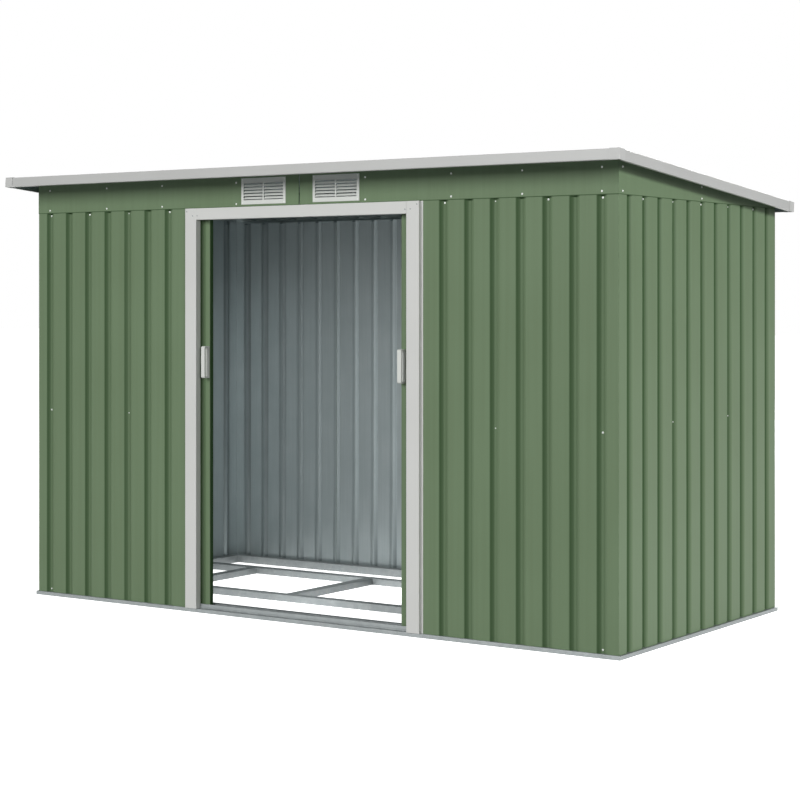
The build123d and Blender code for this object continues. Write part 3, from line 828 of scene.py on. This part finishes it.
both_corners = np.concatenate([RIVETS, RIVETS * (-1, 1)])
spots = np.insert(both_corners, 1, FRONT_Y - JAMB_PROUD, axis=1)
rivets = piece("frame_rivets", screw_parts(spots, outwards["front"], RIVET_SIZE), galvanised)
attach(rivets, "shed")

# Top door track: a galvanised channel, open below, screwed to the walls' grooves behind the header. The
# doors' upper guides run in it.
TRACK_BACK = 45.4
TRACK_END = 982.0
track_line = channel_line(GROOVE_BACK, TRACK_BACK, TRACK_BOTTOM, TRACK_TOP)
channel = folded(track_line, -RAIL_SHEET, (-TRACK_END, TRACK_END), (0, 1, 2), in_front)
track = piece("door_track_channel", [channel], galvanised)
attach(track, "shed")
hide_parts("door_track_top")

# Doors: ribbed sheets like the walls, folded back at both edges and beaded beside them, with a galvanised
# rail behind the top and the bottom. Nylon shoes under the bottom rail slide in the sill's track, and guides
# stand up into the top track.
DOOR_EDGE = 450.0
DOOR_WIDTH = 520.0
DOOR_FRONT = 18.2
DOOR_BACK = 38.2
DOOR_BOTTOM = 28.0
DOOR_TOP = TRACK_BOTTOM - 8
DOOR_RAIL_FRONT = DOOR_FRONT + GROOVE_BACK
GUIDE_TOP = TRACK_TOP - 7.2
GLIDE_LENGTH = 40.0
GLIDE_INSET = 60.0
GLIDE_NOSE = 3.0
GLIDE_ROUND = 2.0
GLIDE_GAP = 0.3
DOOR_GROOVES = 5
DOOR_EDGE_TO_GROOVE = 78.0
RAIL_LONG_LEG = 25.0
RAIL_SHORT_LEG = 15.0
DOOR_SCREW_RISE = 16.0
DOOR_SCREW_DROP = 28.0
DOOR_SCREW_SIZE = 0.7
FOLD_WIDTH = 4.0
FOLD_SHADE_START = 2.0
EDGE_BEAD = np.array([(20.0, 0.0), (25.0, 3.0), (41.0, 3.0), (46.0, 0.0)])
BEAD_SHADE = 0.4

# Nylon, moulded, dark grey: slippery shoes with a faint mould grain, polished where they run.
dark_nylon = plain_finish(
    "nylon_moulded_dark_grey", tones=("#2f3230", "#3d403e"), drift=(9, 3.0), roughness=(0.35, 0.55)
)


def rounded_loop(width, height, radius, steps=4):
    """A rectangle with rounded corners, as a closed loop: four quarter circles about the corners' centres."""
    angle = np.linspace(0, pi / 2, steps)[None, :] + (np.arange(4) * pi / 2)[:, None]
    centre_x = np.array([1, -1, -1, 1])[:, None] * (width / 2 - radius)
    centre_y = np.array([1, 1, -1, -1])[:, None] * (height / 2 - radius)
    x, y = centre_x + radius * np.cos(angle), centre_y + radius * np.sin(angle)
    return np.stack([x, y], axis=-1).reshape(-1, 2)


def glide_part(x, bottom, top):
    """A shoe: a rounded rectangle in depth and height, carried along x and drawn in by a quarter circle at
    both ends."""
    share = np.array([0, 0.15, 0.5, 1.0])
    run = np.concatenate([share * GLIDE_NOSE, GLIDE_LENGTH - GLIDE_NOSE * share[::-1]])
    inset = GLIDE_ROUND * (1 - np.sqrt(1 - (1 - share) ** 2))
    inset = np.concatenate([inset, inset[::-1]])
    loop = rounded_loop(DOOR_BACK - DOOR_RAIL_FRONT, top - bottom, GLIDE_ROUND)
    size = np.abs(loop).max(axis=0)
    across, rise = np.moveaxis(loop[None] * (1 - inset[:, None, None] / size), -1, 0)
    depth = (DOOR_RAIL_FRONT + DOOR_BACK) / 2 + across
    grid = np.stack(np.broadcast_arrays(x + run[:, None], depth, (bottom + top) / 2 + rise), axis=-1)
    return tube_part(in_front(grid))


def to_right(parts):
    """The same parts on the other side of the shed: x changes sign, and each face's corners run the other
    way round."""
    return [(points * (-1, 1, 1), faces[:, ::-1], sides) for points, faces, sides in parts]


door_left, door_right = -DOOR_EDGE - DOOR_WIDTH, -DOOR_EDGE
door_centres = np.linspace(
    door_left + DOOR_EDGE_TO_GROOVE, door_right - DOOR_EDGE_TO_GROOVE, DOOR_GROOVES
)
door_face = ribbed_line(door_left, door_right, door_centres, GROOVE_DEPTH)
door_face = np.concatenate(
    [
        door_face[:1],
        EDGE_BEAD + (door_left, 0),
        door_face[1:-1],
        (EDGE_BEAD * (-1, 1) + (door_right, 0))[::-1],
        door_face[-1:],
    ]
)
door_face = door_face + (0, DOOR_FRONT)
door_line = bent([(door_left, DOOR_BACK), *door_face, (door_right, DOOR_BACK)], PANEL_BEND)
door_heights = np.linspace(DOOR_BOTTOM, DOOR_TOP, WALL_STATIONS)
door_sheet = folded(door_line, SHEET, door_heights, (2, 0, 1), partial(wavy_on_side, side="front"))
# Painted shade on the doors: the grooves shaded as on the walls, the folded-back edges made fully dark, and a
# band over each edge bead.
on_face = np.abs(door_line[:, 0] - (door_left + door_right) / 2) < DOOR_WIDTH / 2 - FOLD_WIDTH
folded_back = door_line[:, 1] > DOOR_FRONT + FOLD_SHADE_START
door_painted_shade = np.where(on_face, painted_groove_shade(door_line, DOOR_FRONT, WALL_STATIONS), folded_back)
to_edge = np.minimum(door_line[:, 0] - door_left, door_right - door_line[:, 0])
bead_x, bead_depth = EDGE_BEAD.T
bead_shade = BEAD_SHADE * np.interp(to_edge, bead_x, bead_depth / bead_depth.max())
door_painted_shade = np.maximum(door_painted_shade, bead_shade)
rail_ends = (door_left + SHEET, door_right - SHEET)
door_rails = []
for edge, inwards in ((DOOR_TOP, -1), (DOOR_BOTTOM, 1)):
    legs = [
        (DOOR_RAIL_FRONT, edge + inwards * RAIL_LONG_LEG),
        (DOOR_RAIL_FRONT, edge),
        (DOOR_BACK, edge),
        (DOOR_BACK, edge + inwards * RAIL_SHORT_LEG),
    ]
    line = bent(legs[::-inwards])
    door_rails.append(folded(line, -RAIL_SHEET, rail_ends, (0, 1, 2), in_front))
glide_starts = (door_left + GLIDE_INSET, door_right - GLIDE_INSET - GLIDE_LENGTH)
glides = [glide_part(x, SILL_TRACK + GLIDE_GAP, DOOR_BOTTOM) for x in glide_starts]
glides += [glide_part(x, DOOR_TOP, GUIDE_TOP) for x in glide_starts]
heights = [DOOR_BOTTOM + DOOR_SCREW_RISE, DOOR_TOP - DOOR_SCREW_DROP]
spots = wall_places("front", door_centres[::2], heights, DOOR_FRONT + GROOVE_DEPTH)
door_screws = screw_parts(spots, outwards["front"], DOOR_SCREW_SIZE)

# Pull handles: D-shaped grips on a plate, moulded in one piece from light grey polypropylene. They are fixed
# to the flat edge of each door.
HANDLE_CENTRE = 975.0
HANDLE_HALF = 62.0
HANDLE_WIDTH = 18.0
HANDLE_STANDOFF = 30.0
HANDLE_PLATE = 3.0
HANDLE_GRIP = 6.0
GRIP_CHAMFER = 2.6
GRIP_BEND = 2.0
GRIP_ROUND = 1.0
GRIP_INSET = 0.4
HANDLE_INSET = 2.0
PLATE_ROUND = 2.2
PLATE_RINGS = ((0.0, 0.0), (2.0, 0.0), (HANDLE_PLATE, 1.2))
handle_x = door_right - HANDLE_INSET - HANDLE_WIDTH / 2
handle_front = DOOR_FRONT - HANDLE_STANDOFF + HANDLE_GRIP / 2
grip_end = HANDLE_HALF - HANDLE_GRIP / 2


def grip_part():
    """The grip: a rounded rectangle, wide across the door, carried along a D-shaped path of depth and
    height."""
    lower = np.array(
        [
            (DOOR_FRONT - HANDLE_PLATE / 2, -grip_end),
            (handle_front + GRIP_CHAMFER, -grip_end),
            (handle_front, GRIP_CHAMFER - grip_end),
        ]
    )
    path = np.concatenate([lower, lower[::-1] * (1, -1)]) + (0, HANDLE_CENTRE)
    path = bent(path, GRIP_BEND)
    loop = rounded_loop(HANDLE_WIDTH - GRIP_INSET, HANDLE_GRIP, GRIP_ROUND)
    ring = path[:, None] + side_vectors(path)[:, None] * loop[None, :, 1:]
    x = np.broadcast_to(handle_x + loop[None, :, 0], ring.shape[:2])
    return tube_part(in_front(np.stack([x, ring[..., 0], ring[..., 1]], axis=-1)))


def handle_plate():
    """The plate: a rounded rectangle of width and height in three rings, the front one drawn in for its soft
    edge."""
    rings = []
    for rise, inset in PLATE_RINGS:
        loop = rounded_loop(HANDLE_WIDTH - 2 * inset, 2 * (HANDLE_HALF - inset), PLATE_ROUND - inset)
        depths = np.full(len(loop), DOOR_FRONT - rise)
        rings.append(np.stack([handle_x + loop[:, 0], depths, HANDLE_CENTRE + loop[:, 1]], axis=-1))
    return tube_part(in_front(np.stack(rings)))


handle = [grip_part(), handle_plate()]
for side, turn in (("left", list), ("right", to_right)):
    body = f"{side}_door"
    groups = {
        "panel": ([door_sheet], (green_paint, zinc_back), "green_sheet"),
        "rails": (door_rails, (galvanised,), "zinc_steel"),
        "glides": (glides, (dark_nylon,), "dark_plastic"),
        "handle": (handle, (grey_plastic,), "light_plastic"),
    }
    for part_name, (parts, finishes, slot) in groups.items():
        made = piece(f"door_{side}_{part_name}", turn(parts), *finishes)
        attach(made, body)
        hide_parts(f"{side}_door_{part_name}")
        if part_name == "panel":
            # Painted shade in the door's grooves, on its folded-back edges and over its beads.
            lay_painted_shade(made, [door_painted_shade])
    fixings = piece(f"door_{side}_screws", turn(door_screws), plated)
    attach(fixings, body)

# Roof: four ribbed sheets laid down the slope on a folded beam, in a tray of light grey edge trim. Each
# sheet's edge laps over the next one's, and screws with washers through the ribs hold them down.
ROOF_EDGE_Y = FRONT_Y - 123
ROOF_HEIGHT = 1720.0
ROOF_HALF = 1419.0
ROOF_RUN = 1449.0
ROOF_FALL = 121.0
ROOF_SLOPE = atan2(ROOF_FALL, ROOF_RUN)
ROOF_DEPTH = ROOF_RUN / cos(ROOF_SLOPE)
EDGE_HEIGHT = 39.5
CAP_WALL = 1.5
PAN_TOP = -11.5
ROOF_RIB = 9.0
SHEET_START = CAP_WALL + SHEET
ROOF_SHEETS = 4
SHEET_RIBS = 6
ROOF_STATIONS = 6
ROOF_LAP = 15.0
ROOF_SHADE = 0.5
UNDERSIDE_SHADE = 0.7
ROOF_SCREW_INSET = 50.0
ROOF_SCREW_SIZE = 0.7


def on_roof(grid):
    """Lays a grid of x, distance down the slope and height above it onto the roof."""
    x, run, rise = np.moveaxis(grid, -1, 0)
    y = ROOF_EDGE_Y + run * cos(ROOF_SLOPE) + rise * sin(ROOF_SLOPE)
    z = ROOF_HEIGHT - run * sin(ROOF_SLOPE) + rise * cos(ROOF_SLOPE)
    return np.stack([x, y, z], axis=-1)


sheet_end = ROOF_HALF - SHEET_START
sheet_edges = np.linspace(-sheet_end, sheet_end, ROOF_SHEETS + 1)
sheet_runs = np.linspace(SHEET_START, ROOF_DEPTH - SHEET_START, ROOF_STATIONS)
rib_step = (sheet_edges[1] - sheet_edges[0]) / SHEET_RIBS
roof_parts, roof_shades, roof_crests = [], [], []
for left, right in zip(sheet_edges, sheet_edges[1:]):
    crests = left + rib_step * (np.arange(SHEET_RIBS) + 0.5)
    lap = ROOF_LAP if right < sheet_end else 0.0
    line = ribbed_line(left, right + lap, crests, ROOF_RIB) + (0, PAN_TOP)
    line[line[:, 0] > right, 1] += SHEET
    line = bent(line, PANEL_BEND)
    roof_shades.append(painted_groove_shade(line * (1, -1), -PAN_TOP - ROOF_RIB, ROOF_STATIONS))
    roof_parts.append(folded(line, -SHEET, sheet_runs, (1, 0, 2), on_roof))
    roof_crests.extend(crests)
roof = piece("roof_sheets", roof_parts, green_paint, zinc_back)
# Painted shade: half the walls' groove shade in the roof's ribs, and an even painted shade over the whole
# underside.
undersides = [np.full_like(painted_shade, UNDERSIDE_SHADE) for painted_shade in roof_shades]
lay_painted_shade(roof, [ROOF_SHADE * painted_shade for painted_shade in roof_shades], undersides)
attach(roof, "shed")
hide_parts("roof_panels")

screw_runs = [ROOF_SCREW_INSET, ROOF_DEPTH / 2, ROOF_DEPTH - ROOF_SCREW_INSET]
crest_x, screw_run = np.meshgrid(roof_crests[::2], screw_runs)
crest_tops = np.full(crest_x.size, PAN_TOP + ROOF_RIB)
spots = np.stack([crest_x.ravel(), screw_run.ravel(), crest_tops], axis=-1)
roof_up = (0, sin(ROOF_SLOPE), cos(ROOF_SLOPE))
fixings = piece("roof_screws", screw_parts(on_roof(spots), roof_up, ROOF_SCREW_SIZE), plated)
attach(fixings, "shed")

BEAM_HALF = 16.0
BEAM_BOTTOM = -62.3
BEAM_TOP = -12.5
beam_line = channel_line(-BEAM_HALF, BEAM_HALF, BEAM_BOTTOM, BEAM_TOP) + (ROOF_DEPTH / 2, 0)
channel = folded(beam_line, -RAIL_SHEET, (-HALF_LENGTH, HALF_LENGTH), (0, 1, 2), on_roof)
beam = piece("roof_beam_channel", [channel], galvanised)
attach(beam, "shed")
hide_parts("roof_beam")

# Roof edge trim: strips of sheet, coil-coated light grey outside and bare zinc inside, folded to a flange
# over the roof sheets, a face, and a lip turned in below. The four corners are covered by moulded caps that
# grip over the ends of the strips.
TRIM_FLANGE = 31.5
TRIM_LIP = 13.5
TRIM_BEND = 3.0

# Coil-coated steel, silver grey: the roof trim's film, a shade darker than the door frame's.
trim_paint = plain_finish(
    "coil_coated_steel_silver_grey", tones=("#b5b6b4", "#bdbebc"), drift=(260, 3.0), **COATING
)

trim_line = bent(
    [
        (TRIM_LIP, -EDGE_HEIGHT),
        (CAP_WALL, -EDGE_HEIGHT),
        (CAP_WALL, -CAP_WALL),
        (TRIM_FLANGE, -CAP_WALL),
    ],
    TRIM_BEND,
)
long_end = ROOF_HALF - CAP_WALL


def along_edge(grid, edge):
    """Lays a grid of run, distance in from the edge and height along one of the roof's four edges."""
    run, inwards, rise = np.moveaxis(grid, -1, 0)
    laid = {
        "front": (run, inwards, rise),
        "back": (run, ROOF_DEPTH - inwards, rise),
        "left": (inwards - ROOF_HALF, run, rise),
        "right": (ROOF_HALF - inwards, run, rise),
    }
    return on_roof(np.stack(laid[edge], axis=-1))


trim_runs = {"front": (-long_end, long_end), "back": (-long_end, long_end)}
trim_runs |= {edge: (TRIM_FLANGE, ROOF_DEPTH - TRIM_FLANGE) for edge in ("left", "right")}
for edge, ends in trim_runs.items():
    strip = folded(trim_line, -SHEET, ends, (0, 1, 2), partial(along_edge, edge=edge))
    trim = piece(f"roof_trim_{edge}", [strip], trim_paint, zinc_back)
    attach(trim, "shed")
    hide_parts(f"fascia_{edge}")

CAP_LEG = 40.0
CAP_ROUND = 2.0

# Moulded polypropylene, silver grey: a dull body colour close to the trim's paint, with a moulded grain,
# drawn coarser than life so that it shows.
cap_plastic = plain_finish(
    "polypropylene_moulded_silver_grey",
    tones=("#b9bab8", "#c1c2c0"),
    drift=(40, 2.0),
    grain=(1.2, 2.0),
    roughness=(0.42, 0.55),
    relief=(0.05, 0.0004),
    rough_by="grain",
)


def cap_part(sign, at_back):
    """A corner cap before it is rounded and thickened: the square top and the two faces that fall from its
    edges."""
    across = np.array([0, 0, CAP_LEG, CAP_LEG, 0, 0, CAP_LEG])
    along = np.array([0, CAP_LEG, CAP_LEG, 0, 0, CAP_LEG, 0])
    rise = np.repeat([0, -EDGE_HEIGHT], [4, 3])
    run = ROOF_DEPTH - along if at_back else along
    faces = np.array([(0, 3, 2, 1), (0, 1, 5, 4), (0, 4, 6, 3)])
    turned = (sign > 0) != at_back
    points = on_roof(np.stack([sign * (ROOF_HALF - across), run, rise], axis=-1))
    return points, faces[:, ::-1] if turned else faces, np.zeros(3, int)


caps = [cap_part(sign, at_back) for sign in (-1, 1) for at_back in (False, True)]
corner_caps = piece("roof_caps", caps, cap_plastic)
rounding = corner_caps.modifiers.new("moulded_radius", "BEVEL")
rounding.width = CAP_ROUND * MM
rounding.segments = 3
rounding.limit_method = "NONE"
thickening = corner_caps.modifiers.new("moulded_wall", "SOLIDIFY")
thickening.thickness = CAP_WALL * MM
thickening.offset = -1.0
corner_caps.modifiers.move(0, 2)
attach(corner_caps, "shed")
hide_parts("roof_corner_caps")

# Stage: a plain white floor that the shed stands on, which gives off its own light, and a soft white room
# round it. Of five soft lights the strongest is high on the left of the camera; others stand far to the
# right, at the front right and behind, and a small one in the shed lights what the doorway shows.
FLOOR_HALF = 60.0
FLOOR_DROP = 0.0005
ROOM_LIGHT = 0.16
ROOM_TO_CAMERA = 1.0
floor_paint, tree, where = new_material("studio_floor_matt_white")
scuff = add(tree, "TexNoise", {"Vector": where, "Scale": repeats(900), "Detail": 2.0})
pale = add(
    tree,
    "Mix",
    {"Factor": scuff.outputs["Fac"], "A": linear("#f7f7f7"), "B": linear("#fbfbfb")},
    data_type="RGBA",
)
shader = add(
    tree,
    "BsdfPrincipled",
    {
        "Base Color": pale.outputs["Result"],
        "Roughness": 0.9,
        "Specular IOR Level": 0.0,
        "Emission Color": linear("#ffffff"),
        "Emission Strength": 1.0,
    },
)
add(tree, "OutputMaterial", {"Surface": shader.outputs[0]})
floor_corners = np.array([(-1, -1), (1, -1), (1, 1), (-1, 1)]) * FLOOR_HALF
floor_mesh = bpy.data.meshes.new("studio_floor")
floor_mesh.from_pydata(np.insert(floor_corners, 2, -FLOOR_DROP, axis=1), [], [(0, 1, 2, 3)])
floor_mesh.materials.append(floor_paint)
floor = bpy.data.objects.new("studio_floor", floor_mesh)
bpy.context.scene.collection.objects.link(floor)
floor.visible_diffuse = False

room = bpy.data.worlds.new("studio_room")
bpy.context.scene.world = room
room.use_nodes = True
tree = room.node_tree
tree.nodes.clear()
ray = add(tree, "LightPath", {})
level = add(
    tree,
    "MapRange",
    {"Value": ray.outputs["Is Camera Ray"], "To Min": ROOM_LIGHT, "To Max": ROOM_TO_CAMERA},
)
sky = add(tree, "Background", {"Color": linear("#ffffff"), "Strength": level.outputs[0]})
add(tree, "OutputWorld", {"Surface": sky.outputs[0]})

softboxes = {
    "softbox_left": ((-4.4, -17.0, 8.0), (0.0, -0.5, 0.9), (8.0, 8.0), 2300.0, 180),
    "softbox_right": ((15.0, 0.8, 5.6), (1.35, 0.0, 0.9), (2.4, 2.4), 1340.0, 180),
    "softbox_fill": ((10.0, -8.0, 4.0), (0.0, -0.5, 0.9), (3.0, 3.0), 360.0, 180),
    "softbox_back": ((-3.0, 14.0, 7.5), (0.0, 0.5, 0.9), (5.0, 5.0), 1300.0, 180),
    "softbox_doorway": ((-0.5, -0.42, 0.75), (-0.42, 0.7, 0.65), (0.7, 1.2), 13.0, 120),
}
for name, (spot, target, (width, height), power, spread) in softboxes.items():
    lamp = bpy.data.lights.new(name, "AREA")
    lamp.shape = "RECTANGLE"
    lamp.size = width
    lamp.size_y = height
    lamp.energy = power
    lamp.spread = radians(spread)
    lamp_object = bpy.data.objects.new(name, lamp)
    lamp_object.location = spot
    aim = np.subtract(spot, target)
    tilt = atan2(np.hypot(aim[0], aim[1]), aim[2])
    lamp_object.rotation_euler = (tilt, 0, atan2(aim[0], -aim[1]))
    lamp_object.visible_camera = False
    lamp_object.visible_glossy = name != "softbox_doorway"
    bpy.context.scene.collection.objects.link(lamp_object)
bpy.context.scene.view_settings.view_transform = "Standard"

# Camera: the photograph's viewing angle, from a fit to the straight edges of the shed.
lens = bpy.data.cameras.new("camera")
lens.sensor_width = 36.0
lens.lens = 89.09
lens.shift_y = -0.12224
lens.clip_end = 200.0
camera = bpy.data.objects.new("camera", lens)
camera.location = (4.4947, -6.53716, 1.2079)
camera.rotation_euler = (pi / 2, 0, 0.5972)
bpy.context.scene.collection.objects.link(camera)
bpy.context.scene.camera = camera
